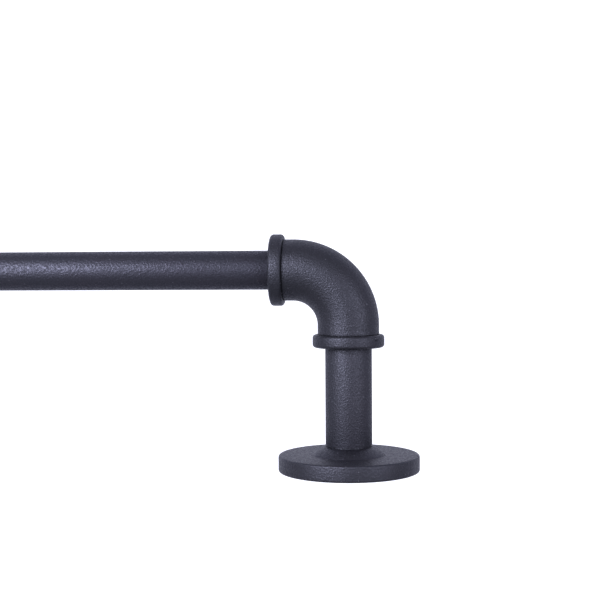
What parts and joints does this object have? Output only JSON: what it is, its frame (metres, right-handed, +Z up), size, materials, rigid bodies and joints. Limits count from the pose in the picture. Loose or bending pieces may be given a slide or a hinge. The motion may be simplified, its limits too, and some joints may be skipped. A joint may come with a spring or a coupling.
{
  "type": "telescopic curtain rod",
  "caption": "Wrap-round pipe-style curtain rod: telescoping tubes end in elbows on standoffs with round wall flanges over hidden wall plates.",
  "frame": {"origin": "centre of the left bracket's back face, on the wall", "axes": "+X along the rod from the left bracket to the right one, +Y into the wall, +Z up"},
  "size_m": [1.1244, 0.0966, 0.0576],
  "materials": {
    "tube_coat": "fine-textured matt black powder coat on steel tube",
    "cast_coat": "fine-textured matt black powder coat on die casting",
    "zinc_plate": "dull zinc plating on pressed steel",
    "screw_zinc": "bright zinc plating",
    "screw_black": "black oxide",
    "black_plastic": "moulded black nylon"
  },
  "bodies": {
    "left_plate": {"left_wall_plate": "zinc_plate"},
    "left_bracket": {"left_flange": "cast_coat", "left_flange_grub_screw": "screw_black", "left_standoff": "tube_coat", "left_tie_screw": "screw_zinc", "left_elbow": "cast_coat", "left_standoff_grub_screw": "screw_black", "left_rod_grub_screw": "screw_black", "reducer_sleeve": "black_plastic", "inner_rod": "tube_coat", "inner_glide": "black_plastic"},
    "outer_tube": {"outer_rod": "tube_coat", "mouth_liner": "black_plastic"},
    "right_bracket": {"right_flange": "cast_coat", "right_flange_grub_screw": "screw_black", "right_standoff": "tube_coat", "right_tie_screw": "screw_zinc", "right_elbow": "cast_coat", "right_standoff_grub_screw": "screw_black", "right_rod_grub_screw": "screw_black"},
    "right_plate": {"right_wall_plate": "zinc_plate"}
  },
  "joints": [
    {"name": "lift_off", "type": "slide", "parent": "left_plate", "child": "left_bracket", "axis": [0, -1, 0], "range_m": [0, 0.03]},
    {"name": "telescope", "type": "slide", "parent": "left_bracket", "child": "outer_tube", "axis": [1, 0, 0], "range_m": [-0.1524, 0.6096]},
    {"name": "right_bracket_turn", "type": "hinge", "parent": "outer_tube", "child": "right_bracket", "pos_m": [1.0668, -0.082, 0], "axis": [1, 0, 0], "continuous": true},
    {"name": "right_plate_stay", "type": "slide", "parent": "right_bracket", "child": "right_plate", "axis": [0, 1, 0], "range_m": [0, 0.03]}
  ],
  "couplings": [
    {"joint": "right_plate_stay", "follows": "lift_off", "ratio": 1}
  ]
}
